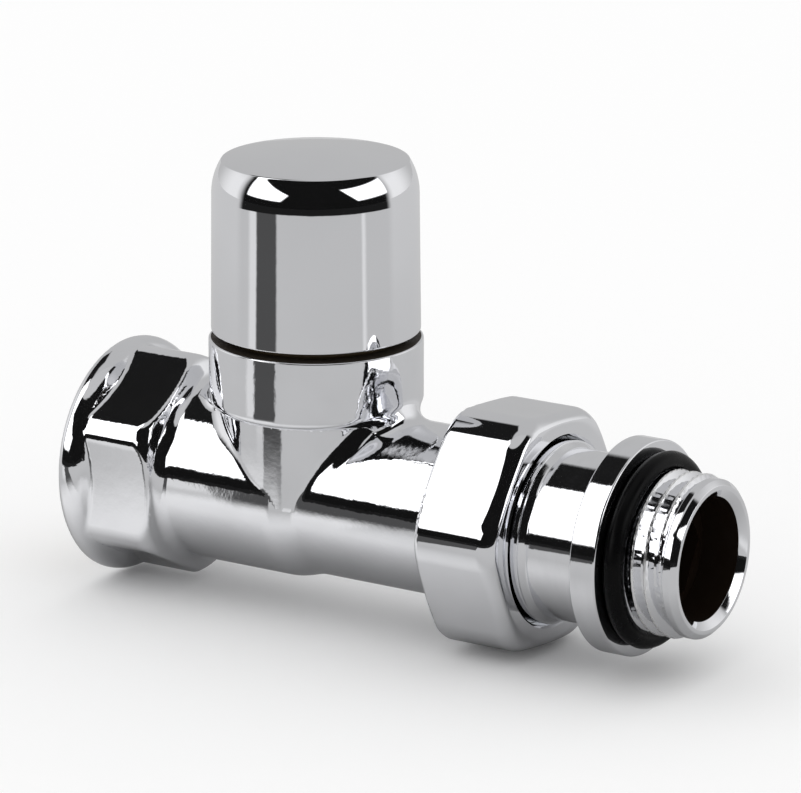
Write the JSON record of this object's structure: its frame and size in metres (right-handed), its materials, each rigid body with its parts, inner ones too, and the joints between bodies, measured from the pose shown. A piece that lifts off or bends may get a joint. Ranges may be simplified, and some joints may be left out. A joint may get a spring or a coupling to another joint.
{
  "type": "radiator shut-off valve",
  "caption": "Straight radiator shut-off valve: threaded inlet socket, tee neck with a round knob that lifts the plug, and a swivelling tailpiece held by a union nut.",
  "frame": {"origin": "on the run axis, where the inlet thread starts, 1 mm inside the mouth of the socket", "axes": "+X along the run axis through the valve to the radiator, +Z parallel to the spindle axis towards the knob"},
  "size_m": [0.0892, 0.0344, 0.0604],
  "materials": {
    "chromed_brass": "polished chrome",
    "brass": "turned",
    "steel": "zinc plated",
    "rubber": "matt black",
    "nylon": "moulded"
  },
  "bodies": {
    "valve": {"valve_body": "chromed_brass", "bonnet": "brass", "bonnet_o_ring": "rubber", "gland_nut": "brass"},
    "knob": {"knob_shell": "chromed_brass", "knob_insert": "nylon", "knob_spring_ring": "steel", "spindle": "brass", "spindle_o_ring_lower": "rubber", "spindle_o_ring_upper": "rubber", "spindle_circlip": "steel", "thrust_washer": "nylon"},
    "plug": {"plug_carrier": "brass", "plug_seal": "rubber", "seal_washer": "brass", "seal_screw": "steel"},
    "union_nut": {"union_nut": "chromed_brass"},
    "tail": {"tailpiece": "chromed_brass", "spigot_o_ring": "rubber", "tail_o_ring": "rubber", "union_split_ring": "steel"}
  },
  "joints": [
    {"name": "knob_turn", "type": "hinge", "parent": "valve", "child": "knob", "pos_m": [0.0295, 0, 0], "axis": [0, 0, 1], "range_deg": [0, 1080]},
    {"name": "plug_lift", "type": "slide", "parent": "valve", "child": "plug", "axis": [0, 0, 1], "range_m": [0, 0.00375]},
    {"name": "union_nut_turn", "type": "hinge", "parent": "valve", "child": "union_nut", "pos_m": [0.06, 0, 0], "axis": [1, 0, 0], "range_deg": [0, 1440]},
    {"name": "tailpiece_swivel", "type": "hinge", "parent": "valve", "child": "tail", "pos_m": [0.06, 0, 0], "axis": [1, 0, 0], "continuous": true}
  ],
  "couplings": [
    {"joint": "plug_lift", "follows": "knob_turn", "m_per_rad": 0.00019894}
  ]
}
